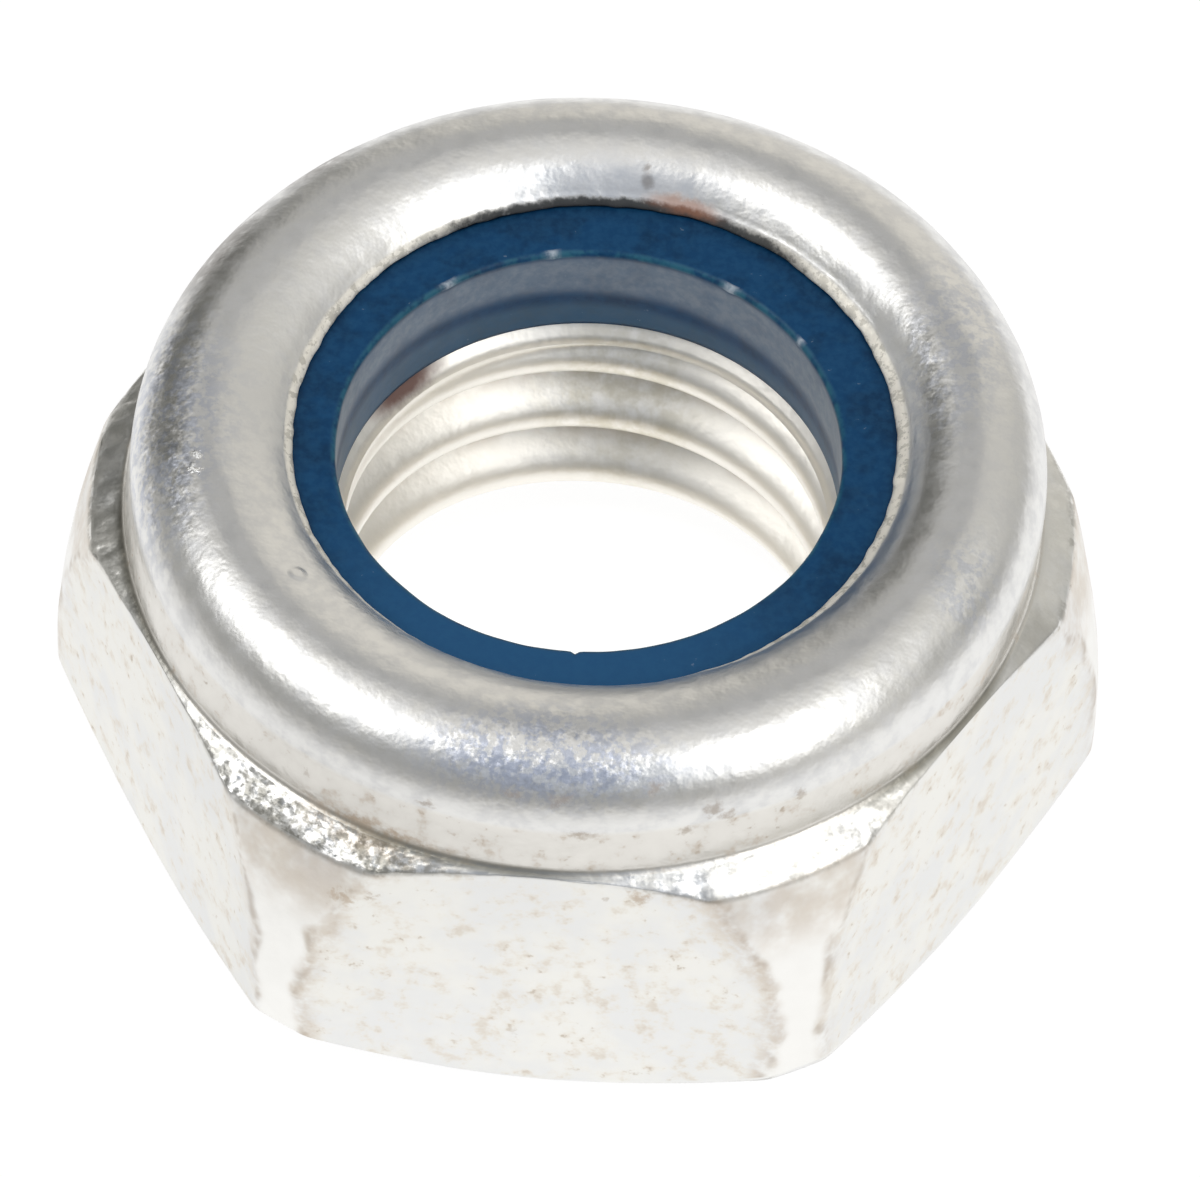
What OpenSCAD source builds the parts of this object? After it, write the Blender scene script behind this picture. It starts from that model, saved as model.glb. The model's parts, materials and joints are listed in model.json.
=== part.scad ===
// Thin hexagon lock nut: a forged steel body whose collar is rolled over a captive nylon ring.
// The bearing face lies on z = 0, and the thread axis is +Z.

/* [Hexagon] */
// Width across the flats
across_flats = 13; // [12:0.1:16]
// Height of the hexagon at the middle of a flat
hex_h = 4.75; // [4:0.05:6]
// Radial amount that the forged barrel takes off each sharp corner at its waist
corner_trim = 0.2; // [0.1:0.01:0.4]
// Height of the widest place on the corners
waist_h = 1.5; // [0.8:0.1:2]
// Radial amount that the corners lean in from the waist up to the top chamfer
corner_lean = 0.4; // [0.2:0.02:0.5]
// Radial amount that the bottom chamfer takes off the corners on the bearing face
bearing_trim = 1.1; // [0.4:0.05:1.4]
// Slope of the top and bottom chamfer cones
chamfer_angle = 30; // [20:1:35]

/* [Collar] */
// Height of the rolled crown above the hexagon
collar_h = 1.9; // [1.7:0.05:2.6]
// Step from the flats in to the collar's outer wall
collar_step = 0.1; // [0.06:0.02:0.4]
// Thickness of the collar's upright wall
collar_wall = 0.9; // [0.6:0.05:0.95]
// Radius of the crown's outer shoulder
crown_r = 1.05; // [1:0.05:1.2]
// Radius of the fillet at the foot of the collar
foot_fillet = 0.12; // [0.06:0.02:0.3]
// Distance that the rolled lip reaches inwards from the crown
lip_reach = 1; // [0.7:0.05:1.2]
// Distance that the lip's edge lies below the crown
lip_drop = 0.48; // [0.3:0.02:0.6]
// Thickness of the lip at its edge
lip_edge = 0.5; // [0.35:0.05:0.6]

/* [Thread] */
// Diameter of the tapped hole over the thread crests
bore_d = 6.8; // [6.4:0.05:7]
// Depth of the countersink in the bearing face
countersink = 1; // [0.5:0.05:1.3]
// Depth of the chamfer where the bore meets the insert's seat
mouth_chamfer = 0.3; // [0.1:0.05:0.5]

/* [Insert] */
// Distance that the insert's seat lies below the top of the hexagon
seat_drop = 0.3; // [0.1:0.05:0.6]
// Diameter of the insert's plain bore
insert_bore_d = 7.06; // [6.9:0.02:7.4]
// Height that the insert stands up inside the lip above the lip's lower edge
insert_rise = 0.35; // [0.1:0.05:0.5]
// Radius on the top edge of the insert's bore
insert_round = 0.1; // [0.04:0.02:0.2]
// Clearance between the insert and the steel around it
insert_gap = 0.02; // [0.01:0.01:0.04]

/* [Hidden] */
$fn = 96;
sides = 6;
over = 1;

flat_r = across_flats / 2;
corner_r = flat_r / cos(180 / sides);
waist_r = corner_r - corner_trim;
bearing_r = waist_r - bearing_trim;
slope = tan(chamfer_angle);

// Edge between the barrel and the top chamfer, at a corner
shoulder_r = waist_r - corner_lean;
shoulder_z = hex_h - (shoulder_r - flat_r) * slope;
barrel_h = shoulder_z - waist_h;
barrel_r = (barrel_h * barrel_h + corner_lean * corner_lean) / (2 * corner_lean);

total_h = hex_h + collar_h;
collar_r = flat_r - collar_step;
foot_z = hex_h + collar_step * slope;
crown_x = collar_r - crown_r;
crown_z = total_h - crown_r;
fillet_x = collar_r + foot_fillet;
fillet_z = foot_z + foot_fillet * (1 - sin(chamfer_angle)) / cos(chamfer_angle);

// Rolled lip: an arc that starts level at the crown and ends at the lip's edge
lip_r = crown_x - lip_reach;
lip_roll_r = (lip_reach * lip_reach + lip_drop * lip_drop) / (2 * lip_drop);
lip_z = total_h - lip_drop;
lip_under_z = lip_z - lip_edge;

// Pocket that holds the insert
seat_z = hex_h - seat_drop;
pocket_r = collar_r - collar_wall;
pocket_roll_r = crown_r - collar_wall;

bore_r = bore_d / 2;
insert_r = insert_bore_d / 2;
insert_top = lip_under_z + insert_rise;

// Half section of the hexagon blank: barrel side between two chamfer cones
module blank_profile() {
    reach = corner_r + over;
    intersection() {
        translate([waist_r - barrel_r, waist_h]) circle(r = barrel_r);
        polygon([
            [0, 0],
            [bearing_r, 0],
            [reach, (reach - bearing_r) * slope],
            [reach, hex_h - (reach - flat_r) * slope],
            [collar_r, foot_z],
            [0, foot_z],
        ]);
    }
}

// Half section of the collar: upright wall, round crown and the lip rolled inwards
module collar_profile() {
    translate([lip_r, seat_z]) square([collar_r - lip_r, crown_z - seat_z]);
    intersection() {
        translate([crown_x, crown_z]) circle(r = crown_r);
        translate([crown_x, seat_z]) square([crown_r, total_h - seat_z]);
    }
    intersection() {
        translate([crown_x, total_h - lip_roll_r]) circle(r = lip_roll_r);
        translate([lip_r, seat_z]) square([lip_reach, total_h - seat_z]);
    }
    foot_fillet_profile();
}

// Hollow fillet between the top chamfer and the collar's wall
module foot_fillet_profile() {
    difference() {
        polygon([
            [collar_r, foot_z],
            [fillet_x - foot_fillet * sin(chamfer_angle), fillet_z - foot_fillet * cos(chamfer_angle)],
            [fillet_x, fillet_z],
            [collar_r, fillet_z],
        ]);
        translate([fillet_x, fillet_z]) circle(r = foot_fillet);
    }
}

// Half section of the hole through the body: countersink, bore, seat and the pocket under the lip
module hollow_profile() {
    polygon([
        [0, -over],
        [bore_r + countersink + over, -over],
        [bore_r, countersink],
        [bore_r, seat_z - mouth_chamfer],
        [bore_r + mouth_chamfer, seat_z],
        [pocket_r, seat_z],
        [pocket_r, crown_z],
        [crown_x, crown_z],
        [crown_x, crown_z + pocket_roll_r],
        [lip_r, lip_under_z],
        [lip_r, total_h + over],
        [0, total_h + over],
    ]);
    translate([crown_x, crown_z]) circle(r = pocket_roll_r);
}

// Half section of the insert: it fills the pocket and swells up inside the lip
module insert_profile() {
    mouth_x = insert_r + insert_round;
    mouth_z = insert_top - insert_round;
    difference() {
        union() {
            polygon([
                [insert_r, seat_z],
                [pocket_r - insert_gap, seat_z],
                [pocket_r - insert_gap, crown_z],
                [crown_x, crown_z],
                [crown_x, crown_z + pocket_roll_r - insert_gap],
                [lip_r - insert_gap, lip_under_z - insert_gap],
                [lip_r - insert_gap, insert_top],
                [insert_r, insert_top],
            ]);
            translate([crown_x, crown_z]) circle(r = pocket_roll_r - insert_gap);
        }
        difference() {
            translate([insert_r - over, mouth_z]) square([insert_round + over, insert_round + over]);
            translate([mouth_x, mouth_z]) circle(r = insert_round);
        }
    }
}

module nut_body() {
    color([0.82, 0.82, 0.80])
    difference() {
        intersection() {
            rotate_extrude() {
                blank_profile();
                collar_profile();
            }
            translate([0, 0, -over]) linear_extrude(total_h + 2 * over) circle(r = corner_r, $fn = sides);
        }
        rotate_extrude() hollow_profile();
    }
}

module nylon_insert() {
    color([0.08, 0.24, 0.45]) rotate_extrude() insert_profile();
}

nut_body();
nylon_insert();
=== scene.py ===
import json
import math
from functools import reduce

import bpy
import numpy as np
from mathutils import Matrix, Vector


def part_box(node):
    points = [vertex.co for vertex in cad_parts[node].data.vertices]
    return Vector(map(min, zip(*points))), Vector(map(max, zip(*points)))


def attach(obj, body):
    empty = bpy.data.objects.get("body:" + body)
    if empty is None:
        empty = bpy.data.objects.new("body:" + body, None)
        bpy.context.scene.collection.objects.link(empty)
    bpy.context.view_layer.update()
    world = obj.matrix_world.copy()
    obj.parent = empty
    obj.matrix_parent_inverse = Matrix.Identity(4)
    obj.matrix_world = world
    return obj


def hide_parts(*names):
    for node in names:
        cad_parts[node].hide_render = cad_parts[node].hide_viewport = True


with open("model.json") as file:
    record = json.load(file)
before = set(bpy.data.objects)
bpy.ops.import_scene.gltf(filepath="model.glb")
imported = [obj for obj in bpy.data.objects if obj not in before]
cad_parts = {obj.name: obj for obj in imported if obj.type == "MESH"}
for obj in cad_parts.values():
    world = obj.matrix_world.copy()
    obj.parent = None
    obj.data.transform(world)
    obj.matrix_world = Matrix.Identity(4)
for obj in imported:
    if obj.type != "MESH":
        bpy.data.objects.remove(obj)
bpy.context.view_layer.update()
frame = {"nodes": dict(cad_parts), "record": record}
mm = 0.001  # the shapes are worked out in millimetres
nutHigh = (np.array(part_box("nut_body")) / mm)[1]
ringLow, ringHigh = np.array(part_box("nylon_insert")) / mm
threadHole = next(m for m in frame["record"]["mounts"] if m["name"] == "thread")
print("frame loaded:", ", ".join(sorted(frame["nodes"])))


# The smaller of two arrays, with their meeting line rounded over the width
def smoothMin(a, b, width):
    share = np.clip(0.5 + 0.5 * (b - a) / width, 0, 1)
    return b + (a - b) * share - width * share * (1 - share)


# 0 below the low value and 1 above the high one, with an S curve between them
def smoothStep(low, high, x):
    part = np.clip((x - low) / (high - low), 0, 1)
    return part * part * (3 - 2 * part)


# Value noise from -1 to 1: lattice corners get hashed numbers, and an S curve blends the eight round a point
def latticeNoise(points, cell, seed):
    place = np.asarray(points) / cell
    low = np.floor(place).astype(np.int64)
    part = place - low
    part = part * part * (3 - 2 * part)
    total = np.zeros(place.shape[:-1])
    for corner in np.ndindex(2, 2, 2):
        i, j, k = np.moveaxis(low + np.array(corner), -1, 0)
        code = (i * 374761393 + j * 668265263 + k * 974634777 + seed * 83492791) & 0xFFFFFFFF
        code = ((code ^ (code >> 13)) * 1274126177) & 0xFFFFFFFF
        code = (code ^ (code >> 16)) & 0xFFFF
        weight = np.prod(np.where(np.array(corner) == 1, part, 1 - part), axis=-1)
        total += weight * code / 32767.5
    return total - 1


# Noise in the first cell size plus a share of noise in the second, finer one
def layeredNoise(points, cells, share, seed):
    return latticeNoise(points, cells[0], seed) + share * latticeNoise(points, cells[1], seed + 1)


# Numbers from 0 up to but not including 1, bunched towards both ends
def steps(count, bunch=0.0):
    even = np.arange(count) / count
    return (1 - bunch) * even + bunch * (0.5 - 0.5 * np.cos(np.pi * even))


# Straight run of section points from start up to but not including end
def run(start, end, count, bunch=0.0):
    return np.array(start) + np.outer(steps(count, bunch), np.subtract(end, start))


# Section points on a circle, from one angle up to but not including another
def arc(centre, radius, start, end, count):
    angle = np.radians(start + (end - start) * steps(count))
    return np.array(centre) + radius * np.stack([np.cos(angle), np.sin(angle)], 1)


# Section points on a rounded corner: a quadratic curve pulled towards the sharp corner
def bend(start, corner, end, count):
    t = steps(count)[:, None]
    return (1 - t) ** 2 * np.array(start) + 2 * t * (1 - t) * np.array(corner) + t ** 2 * np.array(end)


# Section points of all parts in a row, and the name of the part that each belongs to
def joinParts(parts):
    zone = np.repeat(list(parts), [len(part) for part in parts.values()])
    return np.concatenate(list(parts.values())), zone


# Outward normals of a closed grid, from the differences across each point
def gridNormals(points):
    across = np.roll(points, -1, 1) - np.roll(points, 1, 1)
    along = np.roll(points, -1, 0) - np.roll(points, 1, 0)
    normal = np.cross(across, along)
    return normal / np.maximum(np.linalg.norm(normal, axis=-1, keepdims=True), 1e-9)


# New object in the scene, from its mesh, lamp or lens
def addObject(name, data):
    made = bpy.data.objects.new(name, data)
    bpy.context.scene.collection.objects.link(made)
    return made


# Mesh from a grid that closes both ways: rows go round the section, columns go round the axis
def ringMesh(name, points, masks):
    rows, cols = points.shape[:2]
    index = np.arange(rows * cols).reshape(rows, cols)
    nextCol, nextRow = np.roll(index, -1, 1), np.roll(index, -1, 0)
    quads = np.stack([index, nextCol, np.roll(nextCol, -1, 0), nextRow], -1)
    mesh = bpy.data.meshes.new(name)
    mesh.from_pydata((points * mm).reshape(-1, 3).tolist(), [], quads.reshape(-1, 4).tolist())
    mesh.polygons.foreach_set("use_smooth", np.ones(rows * cols, bool))
    for label, values in masks.items():
        layer = mesh.attributes.new(label, "FLOAT", "POINT")
        layer.data.foreach_set("value", np.broadcast_to(values, (rows, cols)).astype(np.float32).ravel())
    mesh.update()
    print(f"{name}: {rows} rows x {cols} columns, {2 * rows * cols} triangles")
    return addObject(name, mesh)


nut = {
    "flatR": nutHigh[1],  # half the width across the flats
    "waistR": nutHigh[0],  # the corners at their widest
    "topZ": nutHigh[2],
    "hexH": 4.75,
    "waistZ": 1.5,
    "cornerLean": 0.4,
    "bearingTrim": 1.1,
    "chamferAngle": math.radians(30),
    "chamferFoot": 0.62,  # height up to which the bottom chamfer runs at the corners
    "collarStep": 0.1,
    "crownRound": 1.05,
    "footFillet": 0.12,
    "lipReach": 1.0,
    "lipDrop": 0.48,
    "lipEdge": 0.5,
    "rollShort": 4,  # degrees by which the roll ends before the lip's edge
    "lipBend": 0.03,
    "lipNose": (0.05, 0.025, 0.085),  # reach of the blunt nose: all round, more at the right, at both sides
    "noseClear": 0.02,  # above the nylon
    "noseBlunt": 0.03,
    "lipBeads": 0.014,
    "lipRing": 4.0,  # radius at which the noise round the lip is read
    "pocketR": ringHigh[0] + 0.02,
    "pocketRound": 0.15,
    "seatZ": ringLow[2],
    "boreR": threadHole["dims"]["r_mm"],
    "mouthChamfer": 0.3,
    "countersink": 1.0,
    "countersinkRound": 0.06,
    "threadDepth": 0.6,
    "pitch": 1.25,
    "flankAngle": math.radians(30),  # half the angle between two flanks
    "rootFlat": 0.156,  # an eighth of the pitch
    "threadRound": 0.34,
    "threadEnd": 0.3,  # the thread runs out over this height below the mouth
    "threadStart": 0.865,  # turns, sets where the thread's root passes the back
    "borderRound": 0.05,  # softness between flats and corner strips
    "chamferRound": (0.02, 0.1),  # softness of the chamfer's rim, everywhere and more at the corners
    "footRound": 0.26,  # softness of the bottom chamfer
    "cornerSpare": (0.05, 0.0, 0.0, 0.1, 0.0, 0.0),  # how far each corner stands out, from +X round
    "footSpare": (0.3, math.radians(-30)),  # the bottom chamfer is cut off centre, towards this angle
    "hexShift": (-0.064, -0.094),  # the forging sits a little off the bore's axis
    "lipShift": (0.103, 0.066),  # and so does the rolled lip's edge
    "lipRagged": 0.014,
    "forgingWave": 0.01,
    "waveCells": (1.7, 0.6),
    "hammer": (0.01, 0.012, 0.012, 0.014, 0.016, 0.008),  # blow depth at each corner, from +X round
    "blowSpread": (7, 0.35),  # blows to the radian, and to the millimetre along the radius
    "blowCells": (0.1, 0.06),
    "crushed": (0.12, 0.2, 0.2, 0.15, 1.0, 0.38),  # share of crushed grains at each corner, from +X round
    "rimHalf": 0.06,
    "creaseHalf": (0.045, 0.085),  # painted shade and dirt at the collar's foot: on the chamfer, on the fillet
    "borderDirt": (  # on both borders of each flat, from 30 degrees round
        (0.5, 0.5), (0.4, 0.6), (0.5, 0.4), (0.5, 0.35), (0.9, 1.0), (0.55, 0.5),
    ),
    "lipShadeAndDirt": np.radians([88, 52]),  # painted shade, with some grime, darkens the lip's edge towards this angle, over this half width
    "lipShadeBand": (0.06, -0.045),  # past the lip's radius, none and full
    "beadBand": (0.04, -0.01),
    "beadSides": (0.25, 0.6),
    "halfColumns": 34,  # columns on half a flat
    "flatColumns": 18,
    "borderColumns": 8,
    "borderAngle": math.radians(1.2),
    "rowBunch": (0.75, 0.3),  # of the rows up the sides, and over the top chamfer
}

flatR, hexH, slope = nut["flatR"], nut["hexH"], math.tan(nut["chamferAngle"])
shoulderR = nut["waistR"] - nut["cornerLean"]
shoulderZ = hexH - (shoulderR - flatR) * slope
rise = shoulderZ - nut["waistZ"]
barrelR = (rise ** 2 + nut["cornerLean"] ** 2) / (2 * nut["cornerLean"])
bearingR = nut["waistR"] - nut["bearingTrim"]
collarR = flatR - nut["collarStep"]
crownX, crownZ = collarR - nut["crownRound"], nut["topZ"] - nut["crownRound"]
filletX = collarR + nut["footFillet"]
filletRise = nut["footFillet"] * math.tan(math.pi / 4 - nut["chamferAngle"] / 2)
filletZ = hexH + nut["collarStep"] * slope + filletRise
lipR, lipZ = crownX - nut["lipReach"], nut["topZ"] - nut["lipDrop"]
rollR = (nut["lipReach"] ** 2 + nut["lipDrop"] ** 2) / (2 * nut["lipDrop"])
underZ = lipZ - nut["lipEdge"]

# Columns: six flats, each counted from one corner over the middle to the next
halfColumns = nut["halfColumns"]
across = np.tile(np.arange(-halfColumns, halfColumns) / halfColumns, 6)
flatMiddle = np.repeat(np.radians(30 + 60 * np.arange(6)), 2 * halfColumns)
evenAngle = flatMiddle + across * math.pi / 6
flatNumber = np.repeat(np.arange(6), 2 * halfColumns)


# Radius of the barrel that trims the corners: an arc widest at the waist
def barrel(z):
    return nut["waistR"] - barrelR + np.sqrt(barrelR ** 2 - (z - nut["waistZ"]) ** 2)


# Angle off the middle of a flat: columns bunch at the border with the barrel, by the share given
def borderColumns(radius, share):
    border = np.arccos(np.minimum(flatR / radius, 1))
    first = nut["flatColumns"] / halfColumns
    last = (nut["flatColumns"] + nut["borderColumns"]) / halfColumns
    part, half = np.abs(across)[None, :], nut["borderAngle"]
    onFlat = part / first * (border - half)
    onBorder = border - half + (part - first) / (last - first) * 2 * half
    onStrip = border + half + (part - last) / (1 - last) * (math.pi / 6 - border - half)
    bunched = np.where(part < first, onFlat, np.where(part < last, onBorder, onStrip))
    return np.sign(across) * (share * bunched + (1 - share) * part * math.pi / 6)


# A value for each corner, carried smoothly round from one to the next
def byCorner(angle, values):
    turned = np.mod(angle, 2 * math.pi) / (math.pi / 3)
    low = np.floor(turned).astype(int) % 6
    part = smoothStep(0.25, 0.75, turned - np.floor(turned))
    return (1 - part) * np.array(values)[low] + part * np.array(values)[(low + 1) % 6]


# Points round the lip, for noise along it: a circle of the lip's size
def lipRing(angle):
    return nut["lipRing"] * np.stack([np.cos(angle), np.sin(angle), np.zeros_like(angle)], -1)


# Radius of the lip's edge round the axis: a circle, off centre and ragged
def lipRadius(angle):
    ragged = 0.6 * latticeNoise(lipRing(angle), 0.35, 11) + 0.4 * latticeNoise(lipRing(angle), 0.13, 12)
    offCentre = lipR + nut["lipShift"][0] * np.cos(angle) + nut["lipShift"][1] * np.sin(angle)
    return offCentre + nut["lipRagged"] * ragged


# Reach of the lip's blunt nose round the axis: a base value, more to the right and at both sides, and beaded
def noseReach(angle):
    base, right, sides = nut["lipNose"]
    beads = nut["lipBeads"] * latticeNoise(lipRing(angle), 0.15, 13)
    return base + right * np.cos(angle) + sides * np.cos(angle) ** 2 + beads


# Outside of the hexagon: the least of four radii, flat, barrel, top cone and bottom cone, carried up in z
def hexagonRows(bottomRows, sideRows, coneRows):
    sideBunch, coneBunch = nut["rowBunch"]
    part = [steps(bottomRows), 1 + steps(sideRows, sideBunch), 2 + steps(coneRows, coneBunch)]
    part = np.concatenate(part)[:, None]
    onSide = np.clip(part - 1, 0, 1)
    lowR = float(barrel(nut["chamferFoot"]))
    lowZ = (lowR - bearingR) * slope
    share = np.minimum(np.clip(part, 0, 1), 1 - np.clip(part - 2, 0, 1) ** 2)
    offMiddle = borderColumns(barrel(lowZ + (shoulderZ - lowZ) * onSide), share)
    turned = flatMiddle + offMiddle
    flat = flatR / np.cos(offMiddle)
    bottomZ = np.maximum(np.minimum(flat, lowR) - bearingR, 0) * slope
    topZ = hexH - (np.minimum(flat, shoulderR) - flatR) * slope
    endZ = filletZ - nut["footFillet"] * math.cos(nut["chamferAngle"])
    upSide = bottomZ + (topZ - bottomZ) * (part - 1)
    upCone = topZ + (endZ - topZ) * (part - 2)
    z = np.where(part < 1, bottomZ * part, np.where(part < 2, upSide, upCone))
    corner = np.clip((np.minimum(flat, shoulderR) - flatR) / (shoulderR - flatR), 0, 1)
    spare = byCorner(turned, nut["cornerSpare"]) * smoothStep(0, 1, (shoulderZ - z) / shoulderZ)
    roundR = barrel(z) + spare
    side = smoothMin(flat, roundR, nut["borderRound"])
    rimRound = nut["chamferRound"][0] + nut["chamferRound"][1] * corner
    radius = smoothMin(side, flatR + (hexH - z) / slope, rimRound)
    footReach, towards = nut["footSpare"]
    footReach = footReach * np.maximum(np.cos(turned - towards), 0)
    radius = smoothMin(radius, bearingR + footReach + z / slope, nut["footRound"])
    chamfer = smoothStep(1.98, 2.03, part) * corner ** 0.5
    masks = {
        "side": (part > 1) * (part < 2) * np.ones_like(z),
        "offBorder": np.clip(roundR - flat, -1, 1),
        "borderDirt": np.array(nut["borderDirt"])[flatNumber, (across > 0).astype(int)] + 0 * z,
        "chamfer": chamfer,
        "crushed": chamfer * byCorner(turned, nut["crushed"]),
        "rim": np.exp(-(((z - topZ) / nut["rimHalf"]) ** 2)) * corner ** 0.5,
        "crease": np.exp(-(((z - endZ) / nut["creaseHalf"][0]) ** 2)) * (part > 2),
    }
    return turned, radius, z, masks


# Internal thread: a V groove on a helix, rounded at crest and root, cut open by the countersink's cone
def threadRows(count):
    topZ = nut["seatZ"] - nut["mouthChamfer"]
    z = (topZ * (1 - steps(count)))[:, None] + 0 * evenAngle
    angle = np.broadcast_to(evenAngle, z.shape)
    turn = z / nut["pitch"] - angle / (2 * math.pi) + nut["threadStart"]
    fromRoot = np.abs(turn - np.round(turn)) * nut["pitch"]
    depth = nut["threadDepth"] - (fromRoot - nut["rootFlat"] / 2) / math.tan(nut["flankAngle"])
    depth = smoothMin(depth, nut["threadDepth"], nut["threadRound"])
    depth = -smoothMin(-depth, 0, nut["threadRound"]) * smoothStep(0, nut["threadEnd"], topZ - z)
    cone = nut["boreR"] + nut["countersink"] - z
    radius = -smoothMin(-nut["boreR"] - depth, -cone, nut["countersinkRound"])
    return angle, radius, z, {"bore": np.ones_like(z), "root": depth / nut["threadDepth"]}


# Section of what turns round the axis: foot fillet, wall, crown, rolled lip, pocket, seat and mouth
rollEnd = 90 + math.degrees(math.asin(nut["lipReach"] / rollR)) - nut["rollShort"]
rollCentre = (crownX, nut["topZ"] - rollR)
lipStart = arc(rollCentre, rollR, rollEnd, 180, 1)[0]
noseZ = ringHigh[2] + nut["noseClear"]
noseTip = (lipR - nut["lipNose"][0], noseZ + nut["noseBlunt"])
mouthTop = (nut["boreR"] + nut["mouthChamfer"], nut["seatZ"])
mouthFoot = (nut["boreR"], nut["seatZ"] - nut["mouthChamfer"])
collarParts = {
    "fillet": arc((filletX, filletZ), nut["footFillet"], 240, 180, 8),
    "wall": run((collarR, filletZ), (collarR, crownZ), 8),
    "crown": arc((crownX, crownZ), nut["crownRound"], 0, 90, 26),
    "roll": arc(rollCentre, rollR, 90, rollEnd, 21),
    "lip": bend(lipStart, (lipR - nut["lipBend"], lipZ), noseTip, 8),
    "nose": bend(noseTip, (noseTip[0], noseZ), (lipR, noseZ), 3),
    "face": run((lipR, noseZ), (lipR, underZ), 2),
    "pocket": np.concatenate([
        run((lipR, underZ), (crownX, crownZ + nut["pocketRound"]), 2),
        arc((crownX, crownZ), nut["pocketRound"], 90, 0, 3),
        run((nut["pocketR"], crownZ), (nut["pocketR"], nut["seatZ"]), 2),
        run((nut["pocketR"], nut["seatZ"]), mouthTop, 3),
    ]),
    "mouth": run(mouthTop, mouthFoot, 3),
}
collar, collarZone = joinParts(collarParts)
collarAngle = np.broadcast_to(evenAngle, (len(collar), len(evenAngle)))
onLip = np.isin(collarZone, ["lip", "nose", "face"])
rollPull = smoothStep(0.0, 1.0, (crownX - collar[:, 0]) / nut["lipReach"]) ** 2
lipPull = np.where(collarZone == "roll", rollPull, np.where(onLip, 1.0, 0.0))
collarRadius = collar[:, :1] + lipPull[:, None] * (lipRadius(collarAngle) - lipR)
nosePull = np.clip((lipR - collar[:, 0]) / nut["lipNose"][0], 0, 1) * np.isin(collarZone, ["lip", "nose"])
collarRadius = collarRadius - nosePull[:, None] * (noseReach(collarAngle) - nut["lipNose"][0])
collarZ = np.broadcast_to(collar[:, 1:], collarRadius.shape)

bearingRadius = run((nut["boreR"] + nut["countersink"], 0), (bearingR, 0), 4)[:, :1] + 0 * evenAngle
hexAngle, hexRadius, hexZ, hexMasks = hexagonRows(6, 42, 18)
boreAngle, boreRadius, boreZ, boreMasks = threadRows(84)
angle = np.concatenate([np.broadcast_to(evenAngle, bearingRadius.shape), hexAngle, collarAngle, boreAngle])
radius = np.concatenate([bearingRadius, hexRadius, collarRadius, boreRadius])
height = np.concatenate([0 * bearingRadius, hexZ, collarZ, boreZ])
firstRow = np.cumsum([0, len(bearingRadius), len(hexZ), len(collar), len(boreZ)])
collarRows = slice(firstRow[2], firstRow[3])

# Masks for the finish, painted shade and painted highlights among them, one value at each point
nutMasks = {}
for label in [*hexMasks, *boreMasks, "crown", "wall", "bead", "lipShadeAndDirt"]:
    nutMasks[label] = np.zeros(angle.shape)
for label, values in hexMasks.items():
    nutMasks[label][firstRow[1]:firstRow[2]] = values
for label, values in boreMasks.items():
    nutMasks[label][firstRow[3]:] = values
nutMasks["crown"][collarRows] = (onLip | np.isin(collarZone, ["crown", "roll"]))[:, None]
nutMasks["wall"][collarRows] = np.isin(collarZone, ["wall", "fillet"])[:, None]
# Painted shade and dirt up the fillet at the collar's foot
upFillet = np.exp(-((collar[:, 1] - collar[0, 1]) / nut["creaseHalf"][1]) ** 2)
nutMasks["crease"][collarRows] = np.where(collarZone == "fillet", upFillet, 0)[:, None]
nutMasks["bore"][collarRows] = (collarZone == "mouth")[:, None]
# The lip's nose at the left and right gets a painted highlight: a pale, dull tone in beads with darker gaps
beadOut, beadIn = nut["beadBand"]
bead = (onLip * smoothStep(lipR + beadOut, lipR + beadIn, collar[:, 0]))[:, None]
nutMasks["bead"][collarRows] = bead * smoothStep(*nut["beadSides"], np.abs(np.cos(collarAngle)))
# Painted shade with grime on the lip's inner edge, strongest towards the back
darkOut, darkIn = nut["lipShadeBand"]
lipTop = (onLip | (collarZone == "roll")) * smoothStep(lipR + darkOut, lipR + darkIn, collar[:, 0])
darkAngle, darkHalf = nut["lipShadeAndDirt"]
darkRound = smoothStep(math.cos(darkHalf), 1, np.cos(collarAngle - darkAngle))
nutMasks["lipShadeAndDirt"][collarRows] = lipTop[:, None] * darkRound

# The forging's shift fades out up the collar's wall
shift = np.zeros((len(angle), 1))
shift[:firstRow[2]] = 1
onFoot = np.isin(collarZone, ["fillet", "wall"])
shift[collarRows][onFoot] = smoothStep(crownZ, filletZ - nut["footFillet"], collar[onFoot, 1:])
nutPoints = np.stack([radius * np.cos(angle), radius * np.sin(angle), height], -1)
nutPoints[..., :2] += shift[..., None] * np.array(nut["hexShift"])

# Hammer blows on the chamfer, drawn out along the radius, and slow waves over the forging
turnSpread, outSpread = nut["blowSpread"]
blowPlace = np.stack([angle * turnSpread, radius * outSpread, 0 * angle], -1)
blows = byCorner(angle, nut["hammer"]) * layeredNoise(blowPlace, nut["blowCells"], 0.6, 3)
blows = blows * nutMasks["chamfer"] * smoothStep(0, 0.6, 1 - nutMasks["crease"])
wave = nut["forgingWave"] * layeredNoise(nutPoints, nut["waveCells"], 0.5, 5)
outward = blows + wave * (1 - nutMasks["bore"])
outward[:firstRow[1]] = 0
nutPoints += gridNormals(nutPoints) * outward[..., None]
nutPoints[..., 2] = np.clip(nutPoints[..., 2], 0, nut["topZ"])
nutPiece = ringMesh("zincNut", nutPoints, nutMasks)


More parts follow.
